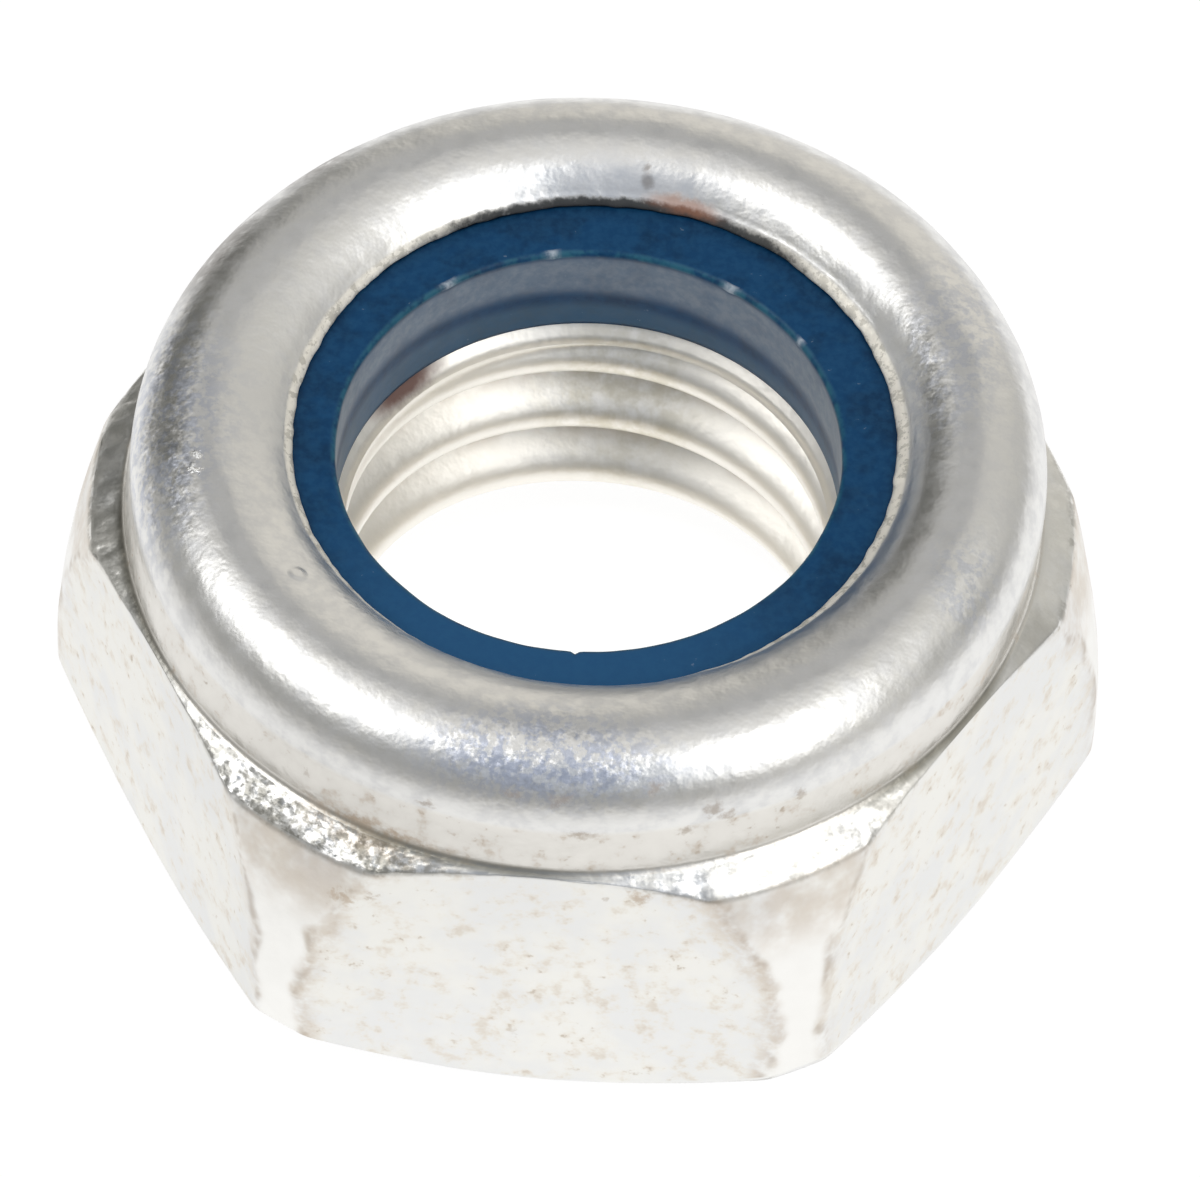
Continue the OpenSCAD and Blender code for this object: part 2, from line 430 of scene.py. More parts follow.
insert = {
    "boreR": 3.53,
    "bottomZ": ringLow[2],
    "topZ": ringHigh[2],
    "outerR": ringHigh[0],
    "gap": 0.012,
    "edgeRound": 0.1,
    "wave": 0.012,
    "waveCells": (0.9, 0.3),
    "marks": (  # on the mouth's edge: angle and half width in degrees, depth, and the burrs stand out
        (-88.0, 0.7, 0.05),  # a nick, at the front of the bore
        (128.5, 1.6, -0.014),
        (61, 1.5, -0.02),
        (103.3, 1.2, -0.012),
        (39, 0.8, -0.008),
    ),
    "markFoot": 0.3,  # height over which a mark fades down the bore
    "scuffEnd": (0.54, 0.1),  # share of the bore's height that bolts have scuffed, and more on the right
    "scuffTop": (0.03, 0.12),
    "scuffSoft": 0.1,
    "lowerBand": (0.12, 0.26),  # below the scuffed stretch
    "paleStretch": np.radians([-95, 70]),  # angle and half width of the thinner front stretch, where a paler blue paints the light passing through it
    "neckShade": (0.35, 0.11),  # reach of the painted shade along the lip, in general and on the pale stretch
    "columns": 360,
}

# Section of the ring: seat, outer wall, shoulder under the lip, neck inside it, top, mouth and bore
shoulderRound = nut["pocketRound"] - insert["gap"]
neckR = lipR - insert["gap"]
neckZ = underZ - insert["gap"]
mouthR = insert["boreR"] + insert["edgeRound"]
mouthZ = insert["topZ"] - insert["edgeRound"]
ringParts = {
    "seat": run((insert["boreR"], insert["bottomZ"]), (insert["outerR"], insert["bottomZ"]), 10, 0.5),
    "outer": np.concatenate([
        run((insert["outerR"], insert["bottomZ"]), (insert["outerR"], crownZ), 4),
        arc((crownX, crownZ), shoulderRound, 0, 90, 4),
    ]),
    "under": run((crownX, crownZ + shoulderRound), (neckR, neckZ), 4),
    "neck": run((neckR, neckZ), (neckR, insert["topZ"]), 5),
    "top": run((neckR, insert["topZ"]), (mouthR, insert["topZ"]), 14),
    "mouth": arc((mouthR, mouthZ), insert["edgeRound"], 90, 180, 9),
    "wall": run((insert["boreR"], mouthZ), (insert["boreR"], insert["bottomZ"]), 26),
}
ringSection, ringZone = joinParts(ringParts)
sectionR, ringZone = ringSection[:, :1], ringZone[:, None]
ringAngle = (2 * math.pi * np.arange(insert["columns"]) / insert["columns"])[None, :] + 0 * sectionR
topPull = np.where(ringZone == "top", smoothStep(mouthR, neckR, sectionR), 0.0)
neckPull = np.where(ringZone == "neck", 1.0, topPull)
ringRadius = sectionR + neckPull * (lipRadius(ringAngle) - lipR)
ringHeight = ringSection[:, 1:] + 0 * ringAngle

# The mouth's edge carries a nick and a few burrs, each a bell curve in the angle
wallPull = np.where(ringZone == "wall", smoothStep(insert["markFoot"], 0.0, mouthZ - ringHeight), 0.0)
mouthPull = np.where(ringZone == "mouth", 1.0, wallPull)
# Each burr that stands out also gets a painted glint
glintFleck = 0 * ringAngle
for markAngle, markWidth, markDepth in insert["marks"]:
    offset = np.angle(np.exp(1j * (ringAngle - math.radians(markAngle))))
    bell = np.exp(-((offset / math.radians(markWidth)) ** 2))
    ringRadius = ringRadius + markDepth * mouthPull * bell
    glintFleck = np.maximum(glintFleck, bell * (markDepth < 0))
ringPoints = np.stack([ringRadius * np.cos(ringAngle), ringRadius * np.sin(ringAngle), ringHeight], -1)
sag = layeredNoise(ringPoints, insert["waveCells"], 0.5, 21)
free = np.where(np.isin(ringZone, ["top", "mouth", "wall"]), 1.0, 0.0)
free = free * smoothStep(insert["bottomZ"], insert["bottomZ"] + 0.2, ringHeight)
ringPoints += gridNormals(ringPoints) * (insert["wave"] * sag * free)[..., None]
ringPoints[..., 2] = np.clip(ringPoints[..., 2], insert["bottomZ"], insert["topZ"] + insert["wave"])

# Masks for the nylon's finish, with painted light, painted shade and painted highlights among them, one value
# at each point
fromTop = (insert["topZ"] - ringHeight) / (insert["topZ"] - insert["bottomZ"])
# Upper bore band: scuffed nylon, its pale grey partly a painted reflection
scuffEnd = insert["scuffEnd"][0] + insert["scuffEnd"][1] * np.cos(ringAngle)
scuffAndSheen = smoothStep(scuffEnd + insert["scuffSoft"], scuffEnd - insert["scuffSoft"], fromTop)
scuffAndSheen = smoothStep(*insert["scuffTop"], fromTop) * scuffAndSheen
# Paler band lower down the bore: painted light reflected from the thread
lowerStart, lowerFull = insert["lowerBand"]
lower = smoothStep(scuffEnd + lowerStart, scuffEnd + lowerFull, fromTop)
paleAngle, paleHalf = insert["paleStretch"]
paleShare = smoothStep(math.cos(paleHalf), 1, np.cos(ringAngle - paleAngle))
# Painted shade on the top under the lip, and at the mouth's edge on the pale stretch
fromNeck, fromBore = neckR - sectionR, sectionR - insert["boreR"]
broadShade, narrowShade = insert["neckShade"]
topShade = smoothStep(broadShade, 0.0, fromNeck) * (1 - paleShare)
topShade = np.maximum(topShade, smoothStep(narrowShade, 0.01, fromNeck))
mouthShade = paleShare * smoothStep(0.1, 0.04, fromBore)
insertMasks = {
    "scuffAndSheen": np.where(np.isin(ringZone, ["mouth", "wall"]), scuffAndSheen, 0.0),
    "lower": np.where(ringZone == "wall", lower, 0.0),
    "glintFleck": np.where(ringZone == "mouth", glintFleck * smoothStep(0.0, 0.03, mouthR - sectionR), 0.0),
    "pale": paleShare,
    "deepBlueAndShade": np.where(ringZone == "top", topShade, np.where(ringZone == "mouth", mouthShade, 0.0)),
    "edge": np.where(ringZone == "mouth", smoothStep(0.09, 0.02, fromBore), 0.0),
}
insertPiece = ringMesh("nylonInsert", ringPoints, insertMasks)


# One shader node with its settings, and its inputs set or linked
def put(tree, kind, inputs=(), **settings):
    made = tree.nodes.new("ShaderNode" + kind)
    for key, value in settings.items():
        setattr(made, key, value)
    for key, value in dict(inputs).items():
        if isinstance(value, bpy.types.NodeSocket):
            tree.links.new(value, made.inputs[key])
        else:
            made.inputs[key].default_value = value
    return made


# One sum of the values, by the operation named
def calc(tree, operation, *values):
    return put(tree, "Math", dict(enumerate(values)), operation=operation).outputs[0]


# One sum of vectors, by the operation named
def vectors(tree, operation, *values):
    return put(tree, "VectorMath", dict(enumerate(values)), operation=operation).outputs[0]


# A vector times a value
def scaled(tree, vector, value):
    return put(tree, "VectorMath", {0: vector, "Scale": value}, operation="SCALE").outputs[0]


# From start at the low value to end at the high one, with an S curve between them
def fade(tree, value, low, high, start=0.0, end=1.0):
    inputs = {0: value, 1: low, 2: high, 3: start, 4: end}
    return put(tree, "MapRange", inputs, interpolation_type="SMOOTHSTEP").outputs[0]


# The first value or the second one, by the share
def blend(tree, share, first, second):
    return put(tree, "Mix", {0: share, 2: first, 3: second}).outputs[0]


# The first colour or the second one, by the share
def tint(tree, share, first, second, mode="MIX"):
    return put(tree, "Mix", {0: share, 6: first, 7: second}, data_type="RGBA", blend_type=mode).outputs[2]


# Noise from 0 to 1 at the place, of the scale given
def noise(tree, place, scale, detail, roughness=0.5):
    inputs = {"Vector": place, "Scale": scale, "Detail": detail, "Roughness": roughness}
    return put(tree, "TexNoise", inputs).outputs


# A mask that is stored in the mesh
def readMask(tree, label):
    return put(tree, "Attribute", attribute_name=label).outputs["Fac"]


# Object coordinates in millimetres
def objectPlace(tree):
    inputs = {"Vector": put(tree, "TexCoord").outputs["Object"], "Scale": (1 / mm, 1 / mm, 1 / mm)}
    return put(tree, "Mapping", inputs).outputs[0]


# Coordinates round the axis: arc length drawn out along the chamfer, radius and height
def roundPlace(tree, place):
    axes = put(tree, "SeparateXYZ", {0: place}).outputs
    turned = calc(tree, "MULTIPLY", calc(tree, "ARCTAN2", axes["Y"], axes["X"]), 0.55 * shoulderR)
    squares = calc(tree, "ADD", calc(tree, "POWER", axes["X"], 2.0), calc(tree, "POWER", axes["Y"], 2.0))
    return put(tree, "CombineXYZ", {0: turned, 1: calc(tree, "SQRT", squares), 2: axes["Z"]}).outputs[0]


# Empty node group: each input is a value with its default, or else a vector, and it has the one output named
def shaderGroup(name, inputs, output, kind):
    tree = bpy.data.node_groups.new(name, "ShaderNodeTree")
    for label, value in inputs.items():
        inputKind = "NodeSocketVector" if value is None else "NodeSocketFloat"
        socket = tree.interface.new_socket(name=label, in_out="INPUT", socket_type=inputKind)
        if value is not None:
            socket.default_value = value
    tree.interface.new_socket(name=output, in_out="OUTPUT", socket_type="NodeSocket" + kind)
    return tree, tree.nodes.new("NodeGroupInput").outputs, tree.nodes.new("NodeGroupOutput").inputs[output]


# The output of a node group that is put in a tree
def useGroup(tree, group, inputs):
    return put(tree, "Group", inputs, node_tree=group).outputs[0]


# Fine grain over broader dimples, as a height
grainInputs = {"Place": None, "Fine": 9.0, "Broad": 2.5, "Broad share": 0.5}
grainGroup, given, result = shaderGroup("surfaceGrain", grainInputs, "Height", "Float")
fine = noise(grainGroup, given["Place"], given["Fine"], 2.0, 0.6)[0]
broad = noise(grainGroup, given["Place"], given["Broad"], 1.0)[0]
grainGroup.links.new(blend(grainGroup, given["Broad share"], fine, broad), result)

# Mottle: ragged noise from 0 to 1
mottleGroup, given, result = shaderGroup("mottle", {"Place": None, "Scale": 4.0}, "Value", "Float")
mottleGroup.links.new(noise(mottleGroup, given["Place"], given["Scale"], 3.0, 0.65)[0], result)

# One stain: an ellipsoid round a centre, full at its core and fading to the whole of it
stainInputs = {"Place": None, "Centre": None, "Reach": None}
stainGroup, given, result = shaderGroup("stain", stainInputs, "Mask", "Float")
fromCentre = vectors(stainGroup, "SUBTRACT", given["Place"], given["Centre"])
fromCentre = vectors(stainGroup, "DIVIDE", fromCentre, given["Reach"])
fromCentre = put(stainGroup, "VectorMath", {0: fromCentre}, operation="LENGTH").outputs["Value"]
stainGroup.links.new(fade(stainGroup, fromCentre, 1.0, 0.3), result)

# Crushed grains: the normal leans away from the axis by one share and by noise as far as the tilt given
crushInputs = {"Place": None, "Scale": 9.0, "Tilt": 0.3, "Outward": 0.0, "Normal": None}
crushGroup, given, result = shaderGroup("crushedGrains", crushInputs, "Normal", "Vector")
lean = noise(crushGroup, given["Place"], given["Scale"], 3.0, 0.7)["Color"]
lean = scaled(crushGroup, vectors(crushGroup, "SUBTRACT", lean, (0.5, 0.5, 0.5)), given["Tilt"])
away = scaled(crushGroup, vectors(crushGroup, "MULTIPLY", given["Normal"], (1, 1, 0)), given["Outward"])
lean = vectors(crushGroup, "ADD", vectors(crushGroup, "ADD", lean, away), given["Normal"])
crushGroup.links.new(vectors(crushGroup, "NORMALIZE", lean), result)

zinc = {
    "plate": (0.92, 0.91, 0.87, 1),
    "cool": (0.87, 0.87, 0.86, 1),
    "warm": (0.88, 0.84, 0.76, 1),
    "worn": (0.855, 0.85, 0.835, 1),  # crown
    "rubbed": (0.775, 0.775, 0.775, 1),
    "wallTone": (0.84, 0.817, 0.772, 1),
    "cleanStripAndHighlight": (0.96, 0.95, 0.92, 1),  # corner strips: cleaner metal, and a painted highlight on their lower part
    "boreTone": (0.985, 0.955, 0.89, 1),
    "beadHighlight": (0.95, 0.91, 0.82, 1),  # painted highlight on the lip's blunt nose
    "blueGrainAndReflection": (0.50, 0.55, 0.68, 1),  # where the plating is coarser, tinted with a painted bluish reflection
    # painted glint: small near-white spots
    "paintedGlint": (0.97, 0.97, 0.95, 1),
    "shade": (0.40, 0.38, 0.36, 1),  # dull stretch on the outer crown at the back left
    "dirt": (0.36, 0.25, 0.15, 1),
    "oxide": (0.20, 0.15, 0.11, 1),
    "rust": (0.42, 0.19, 0.11, 1),
    "darkRust": (0.13, 0.035, 0.02, 1),
    "film": (0.62, 0.50, 0.38, 1),  # thin brown film
    "olive": (0.58, 0.52, 0.36, 1),  # oil and dust at the back of the thread
    # painted shade, near black, with some grime on the lip's inner edge at the back
    "lipShadeAndGrime": (0.012, 0.014, 0.015, 1),
    "grimeAndShade": (0.21, 0.20, 0.16, 1),  # dark grime, and painted shade in the crease at the collar's foot
    "roughness": (0.29, 0.40),
    "flatRoughness": 0.42,
    "boreRoughness": 0.46,
    "dullRoughness": 0.6,
    "grainDepth": 0.000018,
    "crushScale": 9.0,
    "coarseScale": 11.0,
    "torn": (0.4, 0.16),  # how far the outlines of marks are torn, in millimetres, and of softer ones
    "wobble": 0.22,
    "bands": {  # distances from a flat's border, or heights, over which a zone comes in
        "flat": (-0.02, 0.12),
        "strip": (0.04, -0.1),
        "stripTop": (4.1, 3.4),
        "shoulder": (0.06, -0.1),
        "shoulderFoot": (3.0, 3.9),
        "border": (0.07, 0.0),
        "smudge": (0.14, 0.0),
    },
    "patchy": {  # scale of the mottle, level where patches begin, softness of their edges, strength
        "warm": (3.0, 0.45, 0.25, 1.0),
        "rubbed": (3.0, 0.42, 0.25, 0.8),
        "blueGrainAndReflection": (6.0, 0.43, 0.15, 0.72),
        "sideFilm": (3.0, 0.54, 0.2, 1.0),
        "smudge": (3.0, 0.3, 0.35, 0.5),
        "shoulder": (1.6, 0.25, 0.4, 0.45),
        "films": (6.0, 0.3, 0.3, 0.75),
        "chamferFilm": (6.0, 0.3, 0.3, 0.85),
        "root": (1.6, 0.4, 0.2, 0.4),
        "olive": (3.0, 0.3, 0.35, 0.5),
        "shade": (3.0, 0.25, 0.25, 0.9),
        "specks": (6.0, 0.62, 0.12, 1.0),
        "border": (1.6, 0.42, 0.2, 0.36),
        "rim": (3.0, 0.5, 0.1, 0.4),
        "crushed": (6.0, 0.4, 0.2, 0.66),
        "beadGaps": (6.0, 0.5, -0.1, 0.4),
    },
    "share": {  # strength of the other marks
        "flatFilm": 0.3, "wallFilm": 0.5, "wallSpots": 0.45, "chamferDarkening": 0.5,
        "lipShadeAndGrime": 0.92, "pits": 0.5, "lipRust": 0.65, "boreRust": 0.9,
    },
    "dull": {"film": 0.5, "bead": 0.75, "metal": 0.7},  # dull part of film and bead, metal that it takes
    # Marks as centre and reach in x, y and z
    "coarseGrain": (  # and share
        ((-0.1, -5.8, 6.48), (2.3, 1.0, 0.85), 1.0),
        ((-5.75, -0.6, 6.3), (1.1, 2.9, 1.1), 0.8),
        ((4.9, 1.8, 6.6), (1.0, 2.4, 0.8), 0.5),
        ((5.4, -2.2, 6.45), (0.7, 1.1, 0.7), 0.5),
    ),
    "films": (
        ((-3.8, -6.07, 0.55), (0.3, 0.3, 0.3)),
        ((1.3, -6.59, 4.5), (0.25, 0.3, 0.2)),
        ((-2.85, -6.59, 3.95), (0.35, 0.35, 0.35)),
    ),
    "wallSpots": (
        ((2.23, -6.0, 5.8), (0.2, 0.2, 0.16)),
        ((2.48, -5.92, 5.65), (0.17, 0.17, 0.13)),
        ((1.45, -6.0, 6.24), (0.15, 0.15, 0.15)),
        ((3.43, -5.42, 5.6), (0.14, 0.14, 0.16)),
        ((0.16, -6.26, 6.13), (0.24, 0.16, 0.14)),
        ((-1.71, -6.18, 5.67), (0.15, 0.14, 0.11)),
        ((-0.52, -6.24, 6.13), (0.2, 0.14, 0.11)),
        ((1.9, -6.13, 5.48), (0.2, 0.14, 0.11)),
        ((0.5, -6.4, 5.52), (0.3, 0.14, 0.12)),
    ),
    "pits": (((0.42, 4.58, 6.41), (0.13, 0.2, 0.16)), ((0.38, 4.76, 6.5), (0.08, 0.08, 0.08))),
    "crownShade": (((-5.45, 2.9, 6.15), (1.0, 1.7, 0.6)), ((-4.3, 4.5, 6.2), (1.0, 0.9, 0.5))),
    "blisters": (((-3.78, -3.02, 6.55), (0.17, 0.17, 0.17)),),
    # painted glints, two small white spots on the crown
    "glintSpots": (((-5.4, -1.14, 6.62), (0.12, 0.09, 0.12)), ((-5.37, -1.42, 6.62), (0.1, 0.1, 0.1))),
    # Marks as centre and reach in arc length at radius 3.8, radius and height
    "lipRust": (((5.13, 4.46, 6.2), (0.62, 0.15, 0.3)),),
    "boreRust": (((9.4, 3.6, 4.35), (1.0, 0.55, 0.3)),),
    "boreFilm": (((5.75, 3.6, 2.9), (1.7, 1.2, 2.6)),),
    "chamferFilm": (((-7.4, 6.55, 4.8), (0.95, 0.4, 0.36)),),
    # a darker patch on the front-right chamfer
    "chamferDarkening": (((-1.15, 6.65, 4.65), (0.7, 0.8, 0.6)),),
    # painted shade and dirt in the crease, stronger round these places
    "creaseShadeAndDirt": (
        ((-10.7, 6.5, 4.8), (1.5, 1.5, 1.5)),
        ((-2.3, 6.5, 4.8), (1.4, 1.4, 1.4)),
        ((-6.7, 6.5, 4.8), (1.6, 1.5, 1.5)),
    ),
}


# Empty material and its node tree
def newMaterial(name):
    material = bpy.data.materials.new(name)
    material.use_nodes = True
    material.node_tree.nodes.clear()
    return material, material.node_tree


# Ragged noise at each of the scales
def mottles(tree, place, scales):
    return {scale: useGroup(tree, mottleGroup, {"Place": place, "Scale": scale}) for scale in scales}


# Bright zinc: the plating's tone by zone, then films, dirt, rust, painted shade, painted highlights and
# painted glints over it, each by its mask
def makeZinc():
    material, tree = newMaterial("brightZinc")
    share, bands, dullPart = zinc["share"], zinc["bands"], zinc["dull"]
    place = objectPlace(tree)
    height = put(tree, "SeparateXYZ", {0: place}).outputs["Z"]
    mottle = mottles(tree, place, (0.7, 1.6, 3.0, 6.0))
    tear = vectors(tree, "SUBTRACT", noise(tree, place, 5.0, 3.0, 0.7)["Color"], (0.5, 0.5, 0.5))
    torn, softTorn = (vectors(tree, "MULTIPLY_ADD", tear, (far, far, far), place) for far in zinc["torn"])
    tornRound, softRound = roundPlace(tree, torn), roundPlace(tree, softTorn)
    masks = [readMask(tree, label) for label in nutMasks]
    side, offBorder, borderDirt, chamfer, crushed, rim, crease, bore, root, crown, wall, bead, lipShadeAndDirt = masks

    # Product of the values
    def times(*values):
        return reduce(lambda a, b: calc(tree, "MULTIPLY", a, b), values)

    # Largest of the values
    def most(*values):
        return reduce(lambda a, b: calc(tree, "MAXIMUM", a, b), values)

    # Mottle cut off above the level of the patches named, times their strength
    def patchy(name):
        scale, level, softness, strength = zinc["patchy"][name]
        return fade(tree, mottle[scale], level, level + softness, 0.0, strength)

    # One stain
    def stain(where, centre, reach):
        return useGroup(tree, stainGroup, {"Place": where, "Centre": centre, "Reach": reach})

    # Largest of the stains named
    def stained(where, name):
        return most(0.0, *(stain(where, centre, reach) for centre, reach in zinc[name]))

    # Flats, strips and their borders, by the distance from the border with some wobble
    drift = calc(tree, "SUBTRACT", noise(tree, place, 1.5, 1.0)[0], 0.5)
    wobble = calc(tree, "MULTIPLY_ADD", drift, zinc["wobble"], offBorder)
    flat = times(side, fade(tree, wobble, *bands["flat"]))
    # Corner strips, lower part only, where the painted highlight goes
    strip = times(side, fade(tree, wobble, *bands["strip"]), fade(tree, height, *bands["stripTop"]))
    shoulder = times(side, fade(tree, wobble, *bands["shoulder"]), fade(tree, height, *bands["shoulderFoot"]))
    border = times(side, fade(tree, calc(tree, "ABSOLUTE", wobble), *bands["border"]))
    inside = calc(tree, "ABSOLUTE", calc(tree, "SUBTRACT", wobble, 0.03))
    smudge = times(side, borderDirt, fade(tree, inside, *bands["smudge"]))
    coarse = 0.0
    for centre, reach, strength in zinc["coarseGrain"]:
        coarse = most(coarse, times(stain(torn, centre, reach), crown, strength))

    # Films, dirt, grime and rust, with painted shade in the crease, in the thread's roots and on the lip's
    # edge
    film = times(patchy("sideFilm"), most(times(flat, share["flatFilm"]), times(wall, share["wallFilm"])))
    film = most(film, times(smudge, patchy("smudge")), times(shoulder, patchy("shoulder")))
    film = most(film, times(stained(torn, "films"), patchy("films")))
    film = most(film, times(most(chamfer, wall), stained(tornRound, "chamferFilm"), patchy("chamferFilm")))
    # Brown film with painted shade deep in the thread's roots
    film = most(film, times(fade(tree, root, 0.55, 0.95), patchy("root")))
    specks = times(patchy("specks"), most(flat, wall), fade(tree, mottle[0.7], 0.42, 0.6, 0.06, 0.34))
    wallSpots = times(stained(torn, "wallSpots"), fade(tree, mottle[6.0], 0.35, 0.6, 0.5, 1.0))
    dirt = most(specks, times(border, patchy("border")), times(wallSpots, share["wallSpots"]))
    # Painted shade with dirt in the collar's foot crease
    creaseShare = calc(tree, "MULTIPLY_ADD", stained(tornRound, "creaseShadeAndDirt"), 0.65, 0.15)
    dark = most(times(rim, patchy("rim")), times(crushed, patchy("crushed")))
    dark = most(dark, times(crease, creaseShare), times(bead, patchy("beadGaps")))
    # Darker patch on the front-right chamfer
    dark = most(dark, times(chamfer, stained(tornRound, "chamferDarkening"), share["chamferDarkening"]))
    # Painted shade with grime on the lip's edge, made ragged by the mottle
    lipShadeAndGrime = calc(tree, "MULTIPLY_ADD", calc(tree, "SUBTRACT", mottle[6.0], 0.5), 1.3, lipShadeAndDirt)
    lipShadeAndGrime = times(fade(tree, lipShadeAndGrime, 0.12, 0.85), fade(tree, lipShadeAndDirt, 0.0, 0.2))
    # Painted glints
    paintedGlint = stained(torn, "glintSpots")
    lipRust, boreRust = stained(softRound, "lipRust"), stained(softRound, "boreRust")
    dull = most(dirt, times(film, dullPart["film"]), lipRust, boreRust, lipShadeAndGrime)
    dull = most(dull, times(bead, dullPart["bead"]), paintedGlint)

    # Each tone is laid over those before it
    colour = tint(tree, fade(tree, mottle[0.7], 0.4, 0.62), zinc["cool"], zinc["plate"])
    layers = (
        ("warm", times(patchy("warm"), calc(tree, "MULTIPLY_ADD", flat, 0.5, 0.15))),
        ("worn", times(crown, fade(tree, mottle[6.0], 0.3, 0.65, 0.7, 1.0))),
        ("rubbed", times(crown, patchy("rubbed"))),
        ("wallTone", wall),
        ("cleanStripAndHighlight", strip),
        ("boreTone", bore),
        ("beadHighlight", bead),
        # coarse plating, tinted blue as a painted reflection
        ("blueGrainAndReflection", times(coarse, patchy("blueGrainAndReflection"))),
        ("film", film),
        ("olive", times(bore, stained(tornRound, "boreFilm"), patchy("olive"))),
        ("shade", times(crown, stained(torn, "crownShade"), patchy("shade"))),
        ("dirt", dirt),
        ("grimeAndShade", dark),
        ("lipShadeAndGrime", times(lipShadeAndGrime, share["lipShadeAndGrime"])),
        ("oxide", times(stained(softTorn, "pits"), share["pits"])),
        ("paintedGlint", paintedGlint),
        ("rust", times(lipRust, share["lipRust"])),
        ("darkRust", times(boreRust, share["boreRust"])),
    )
    for tone, mask in layers:
        colour = tint(tree, mask, colour, zinc[tone])

    # Grain, crushed grains and gloss
    grain = useGroup(tree, grainGroup, {"Place": place, "Fine": 5.0, "Broad": 2.0, "Broad share": 0.5})
    grain = calc(tree, "ADD", grain, times(stained(place, "blisters"), 1.3))
    grain = calc(tree, "ADD", grain, times(paintedGlint, 1.5))
    bump = put(tree, "Bump", {"Height": grain, "Distance": zinc["grainDepth"], "Strength": 1.0})
    normal = useGroup(tree, crushGroup, {
        "Place": roundPlace(tree, place),
        "Scale": zinc["crushScale"],
        "Tilt": calc(tree, "MULTIPLY_ADD", crushed, 1.2, times(bead, 0.5)),
        "Outward": times(crushed, fade(tree, mottle[1.6], 0.35, 0.65), 0.7),
        "Normal": bump.outputs[0],
    })
    normal = useGroup(tree, crushGroup, {
        "Place": place,
        "Scale": zinc["coarseScale"],
        "Tilt": times(coarse, 0.62),
        "Outward": 0.0,
        "Normal": normal,
    })
    roughness = fade(tree, mottle[3.0], 0.3, 0.7, *zinc["roughness"])
    for zone, label in ((flat, "flatRoughness"), (bore, "boreRoughness"), (dull, "dullRoughness")):
        roughness = blend(tree, zone, roughness, zinc[label])
    metal = calc(tree, "SUBTRACT", 1.0, times(dull, dullPart["metal"]))
    finish = {"Base Color": colour, "Metallic": metal, "Roughness": roughness, "Normal": normal}
    shader = put(tree, "BsdfPrincipled", finish)
    tree.links.new(shader.outputs[0], put(tree, "OutputMaterial").inputs["Surface"])
    return material


nylon = {
    "blue": (0.003, 0.047, 0.130, 1),
    # darker blue, used in the mottle and as painted shade
    "deepBlueAndShade": (0.002, 0.026, 0.072, 1),
    # painted light through the thin front stretch
    "pale": (0.014, 0.077, 0.186, 1),
    "tealEdgeHighlight": (0.03, 0.14, 0.2, 1),  # painted highlight along the mouth's edge
    # scuffed nylon, and a painted reflection on the upper bore
    "scuffedAndSheen": (0.30, 0.355, 0.425, 1),
    "lowerReflectedLight": (0.11, 0.20, 0.28, 1),  # painted light reflected from the thread, on the bore below the scuffed stretch
    "speck": (0.02, 0.10, 0.21, 1),
    # painted glint on the burrs
    "burrGlint": (0.55, 0.60, 0.66, 1),
    "share": {"pale": 1.0, "deepBlueAndShade": 0.75, "edge": 0.85, "scuffAndSheen": 0.8, "lower": 0.42, "glintFleck": 0.75},
    "roughness": 0.36,
    "gloss": 0.18,
    "grainDepth": 0.000004,
}


# Blue nylon: a mottled blue, then painted light through the thin front stretch, painted shade under the lip,
# a painted highlight on the mouth's edge, scuffs with a painted sheen, painted light low in the bore, specks
# and painted glints on the burrs, each by its mask
def makeNylon():
    material, tree = newMaterial("blueNylon")
    place = objectPlace(tree)
    mottle = mottles(tree, place, (1.6, 3.0, 7.0))

    # A mask of the mesh, by its share and by the mottle's part given
    def part(label, mottled=1.0):
        masked = calc(tree, "MULTIPLY", readMask(tree, label), nylon["share"][label])
        return calc(tree, "MULTIPLY", masked, mottled)

    colour = tint(tree, fade(tree, mottle[1.6], 0.4, 0.65, 0.0, 0.75), nylon["blue"], nylon["deepBlueAndShade"])
    layers = (
        # painted light on the front stretch, then painted shade under the lip
        ("pale", part("pale")),
        ("deepBlueAndShade", part("deepBlueAndShade")),
        ("tealEdgeHighlight", part("edge", fade(tree, mottle[3.0], 0.35, 0.6))),
        ("scuffedAndSheen", part("scuffAndSheen", fade(tree, mottle[3.0], 0.25, 0.6, 0.75, 1.0))),
        ("lowerReflectedLight", part("lower")),
        ("speck", fade(tree, mottle[7.0], 0.35, 0.65, 0.0, 0.24)),
        ("scuffedAndSheen", fade(tree, mottle[7.0], 0.7, 0.74, 0.0, 0.25)),
        ("burrGlint", part("glintFleck", fade(tree, mottle[7.0], 0.35, 0.6, 0.3, 1.0))),
    )
    for tone, mask in layers:
        colour = tint(tree, mask, colour, nylon[tone])
    grain = useGroup(tree, grainGroup, {"Place": place, "Fine": 9.0, "Broad": 4.0, "Broad share": 0.3})
    bump = put(tree, "Bump", {"Height": grain, "Distance": nylon["grainDepth"], "Strength": 1.0})
    shader = put(tree, "BsdfPrincipled", {
        "Base Color": colour,
        "Roughness": nylon["roughness"],
        "Specular IOR Level": nylon["gloss"],
        "Normal": bump.outputs[0],
    })
    tree.links.new(shader.outputs[0], put(tree, "OutputMaterial").inputs["Surface"])
    return material


nutPiece.data.materials.append(makeZinc())
insertPiece.data.materials.append(makeNylon())
for piece, node, slot in ((nutPiece, "nut_body", "zinc_steel"), (insertPiece, "nylon_insert", "blue_nylon")):
    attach(piece, "root")
    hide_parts(node)
print("materials and pieces in place")


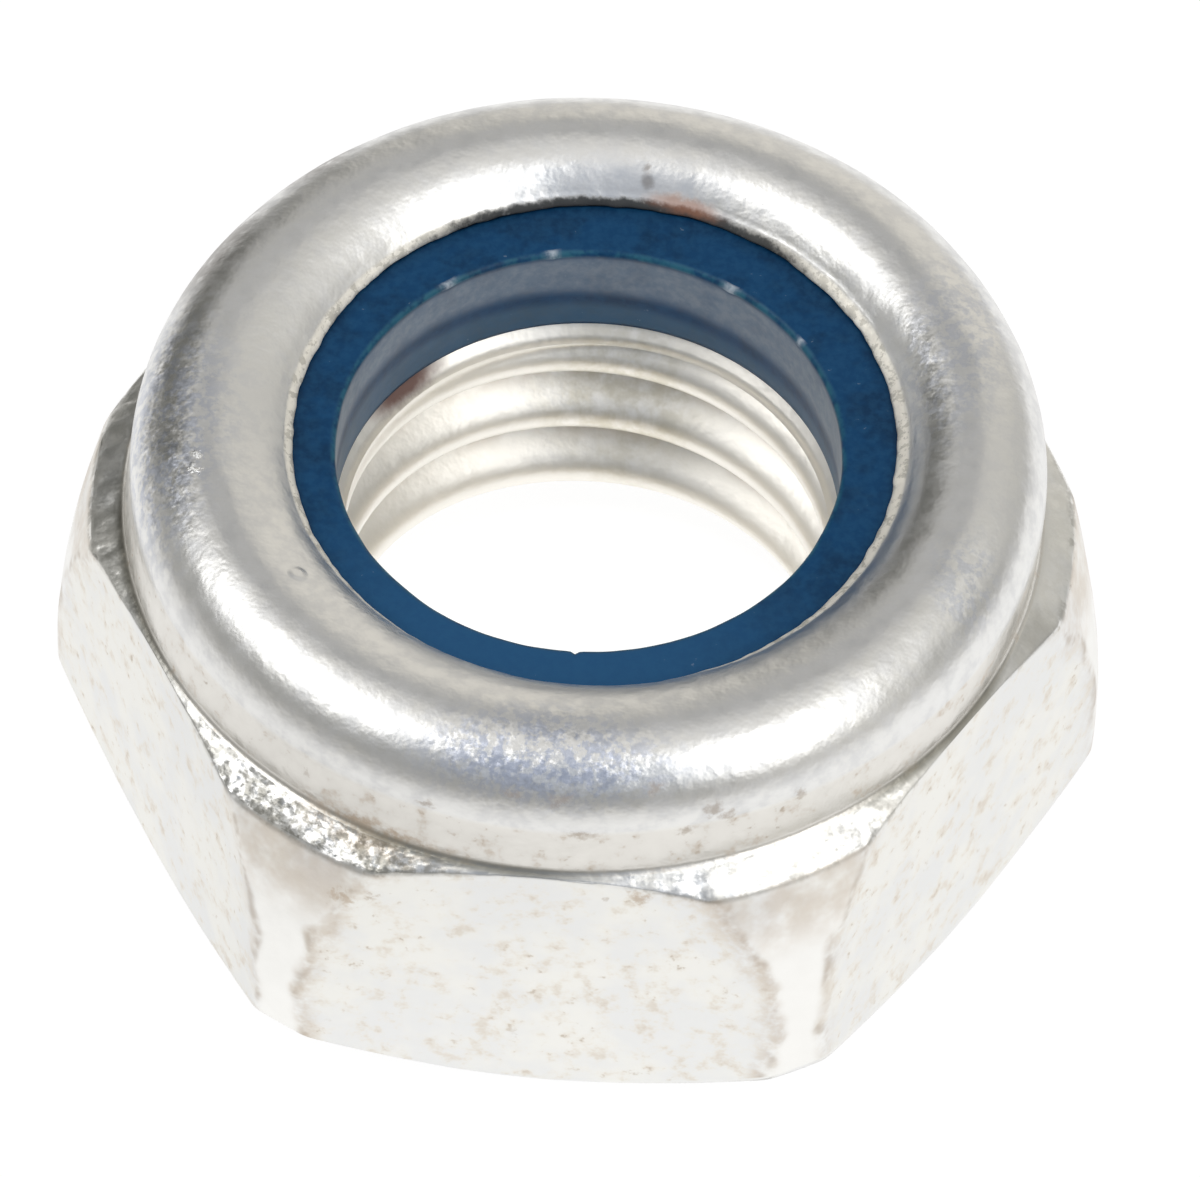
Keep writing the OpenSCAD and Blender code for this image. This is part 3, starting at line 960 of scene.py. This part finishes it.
studio = {
    "turn": math.radians(3.8),  # camera off the front flat's middle
    "elevation": math.radians(51.7675),
    "roll": math.radians(1.5593),
    "distance": 271.128,
    "slide": (0.2545, 1.691, 0.15),  # right, up, and up the nut's axis
    "lens": 573.9,
    "sensor": 36,
    "clip": (0.01, 10),
    "floorSize": 0.4,
    "floorWhite": 1.08,
    "floorGrey": (0.42, 0.41, 0.39, 1),
    "floorTone": (0.86, 0.86, 0.85, 1),
    "floorShadow": 0.15,
    "floorDrop": 0.02,  # millimetres below the bearing face
    "holeWhite": (1.12, 3.2, 3.9),  # makes up for the shade under the hole, within the first radius only
    "floorGlow": (12, 14, 26, 64),  # palest round this place, out to a reach, and greyest from the next
    "softboxes": {  # azimuth from the back, elevation, width, height and tilt in degrees, brightness
        "left": (-99, 50.5, 63, 36, 4, 1.9),
        "right": (132, 43, 38, 50, -7, 1.9),
    },
    "softboxDistance": 0.4,
    "horizon": (0.33, 0.33, 0.32, 1),
    "zenith": (0.70, 0.69, 0.67, 1),
    "skyRise": (0.5, 0.98),
    "patches": (  # azimuth, elevation and reach in degrees, colour
        (50, 35, 33, (0.56, 0.55, 0.52, 1)),
        (95, 48, 24, (0.74, 0.73, 0.70, 1)),
        (122, 10, 24, (0.56, 0.55, 0.52, 1)),
        (14, 12, 25, (0.79, 0.76, 0.70, 1)),
        (-40, 20, 21, (0.10, 0.10, 0.09, 1)),
        (182, 44, 27, (0.42, 0.455, 0.52, 1)),
        (2, 57, 13, (0.335, 0.34, 0.35, 1)),
    ),
    "patchEdge": (1.3, 0.6),  # of a patch's reach, none and full
}


# Direction from the nut, by azimuth from the back towards the camera's right and by elevation
def aim(azimuth, elevation):
    a, e = math.radians(azimuth) - studio["turn"], math.radians(elevation)
    return math.sin(a) * math.cos(e), math.cos(a) * math.cos(e), math.sin(e)


# Two axes turned in their own plane by an angle
def turnPair(first, second, angle):
    turnedFirst = math.cos(angle) * first + math.sin(angle) * second
    turnedSecond = math.cos(angle) * second - math.sin(angle) * first
    return turnedFirst, turnedSecond


# Camera: axes from the elevation, rolled in the picture and then turned about the nut's axis
def placeCamera():
    e, turn = studio["elevation"], studio["turn"]
    back = np.array([0, -math.cos(e), math.sin(e)])
    right, up = np.array([1.0, 0, 0]), np.array([0, math.sin(e), math.cos(e)])
    right, up = turnPair(right, up, studio["roll"])
    slideRight, slideUp, slideAxis = studio["slide"]
    eye = back * studio["distance"] + right * slideRight + up * slideUp + np.array([0, 0, slideAxis])
    about = np.array([[math.cos(turn), -math.sin(turn), 0], [math.sin(turn), math.cos(turn), 0], [0, 0, 1]])
    pose = np.eye(4)
    pose[:3, :3] = about @ np.stack([right, up, back], 1)
    pose[:3, 3] = about @ eye * mm
    lens = bpy.data.cameras.new("camera")
    lens.sensor_fit = "HORIZONTAL"
    lens.sensor_width, lens.lens = studio["sensor"], studio["lens"]
    lens.clip_start, lens.clip_end = studio["clip"]
    camera = addObject("camera", lens)
    camera.matrix_world = Matrix(pose.tolist())
    bpy.context.scene.camera = camera


# A softbox is a rectangle that faces the nut, with the brightness of its face given
def placeSoftbox(name, azimuth, elevation, width, height, tilt, level):
    reach = studio["softboxDistance"]
    lamp = bpy.data.lights.new(name, "AREA")
    lamp.shape = "RECTANGLE"
    width = width * math.cos(math.radians(elevation))
    lamp.size, lamp.size_y = (2 * reach * math.tan(math.radians(side / 2)) for side in (width, height))
    lamp.energy = level * math.pi * lamp.size * lamp.size_y
    box = addObject(name, lamp)
    back, right = np.array(aim(azimuth, elevation)), -np.array(aim(azimuth + 90, 0))
    right, up = turnPair(right, np.cross(back, right), math.radians(tilt))
    pose = np.eye(4)
    pose[:3, :3] = np.stack([right, up, back], 1)
    pose[:3, 3] = back * reach
    box.matrix_world = Matrix(pose.tolist())
    box.visible_camera = False


# Floor: a square sheet, white where it is looked at, greyer away from the nut, and clear from below
def placeFloor():
    half, low = studio["floorSize"], -studio["floorDrop"] * mm
    corners = [(-half, -half, low), (half, -half, low), (half, half, low), (-half, half, low)]
    mesh = bpy.data.meshes.new("floor")
    mesh.from_pydata(corners, [], [(0, 1, 2, 3)])
    floor = addObject("floor", mesh)
    material, tree = newMaterial("paleFloor")
    rays = put(tree, "LightPath").outputs
    place = objectPlace(tree)
    glowX, glowY, near, far = studio["floorGlow"]
    reach = put(tree, "VectorMath", {0: place, 1: (glowX, glowY, 0)}, operation="DISTANCE").outputs["Value"]
    grey = put(tree, "MapRange", {0: reach, 1: near, 2: far}).outputs[0]
    grey = calc(tree, "MULTIPLY", grey, calc(tree, "SUBTRACT", 1.0, rays["Is Camera Ray"]))
    pale = tint(tree, grey, (1, 1, 1, 1), studio["floorGrey"])
    looked = calc(tree, "MAXIMUM", rays["Is Glossy Ray"], rays["Is Transmission Ray"])
    looked = calc(tree, "MAXIMUM", rays["Is Camera Ray"], looked)
    lit = put(tree, "BsdfDiffuse", {"Color": tint(tree, 1.0, pale, studio["floorTone"], "MULTIPLY")})
    fromAxis = put(tree, "VectorMath", {0: place}, operation="LENGTH").outputs["Value"]
    holeTimes, inside, outside = studio["holeWhite"]
    white = studio["floorWhite"]
    strength = fade(tree, fromAxis, inside, outside, holeTimes * white, white)
    shown = put(tree, "Emission", {"Color": pale, "Strength": strength})
    share = calc(tree, "MULTIPLY", looked, 1 - studio["floorShadow"])
    sheet = put(tree, "MixShader", {0: share, 1: lit.outputs[0], 2: shown.outputs[0]}).outputs[0]
    fromBelow = put(tree, "NewGeometry").outputs["Backfacing"]
    clear = put(tree, "BsdfTransparent").outputs[0]
    sheet = put(tree, "MixShader", {0: fromBelow, 1: sheet, 2: clear}).outputs[0]
    tree.links.new(sheet, put(tree, "OutputMaterial").inputs["Surface"])
    mesh.materials.append(material)


# World: dim at eye level and paler overhead, with broad patches as in a furnished studio
def placeWorld():
    world = bpy.data.worlds.new("studio")
    bpy.context.scene.world = world
    world.use_nodes = True
    tree = world.node_tree
    tree.nodes.clear()
    towards = put(tree, "TexCoord").outputs["Generated"]
    up = fade(tree, put(tree, "SeparateXYZ", {0: towards}).outputs["Z"], *studio["skyRise"])
    light = tint(tree, up, studio["horizon"], studio["zenith"])
    for azimuth, elevation, reach, colour in studio["patches"]:
        inputs = {0: towards, 1: aim(azimuth, elevation)}
        facing = put(tree, "VectorMath", inputs, operation="DOT_PRODUCT").outputs["Value"]
        none, full = (math.cos(math.radians(reach * edge)) for edge in studio["patchEdge"])
        light = tint(tree, fade(tree, facing, none, full), light, colour)
    light = put(tree, "Background", {"Color": light, "Strength": 1.0})
    tree.links.new(light.outputs[0], put(tree, "OutputWorld").inputs["Surface"])


placeCamera()
for boxName, boxValues in studio["softboxes"].items():
    placeSoftbox(boxName + "Softbox", *boxValues)
placeFloor()
placeWorld()
bpy.context.scene.view_settings.view_transform = "Standard"
print("camera, lights and floor in place")
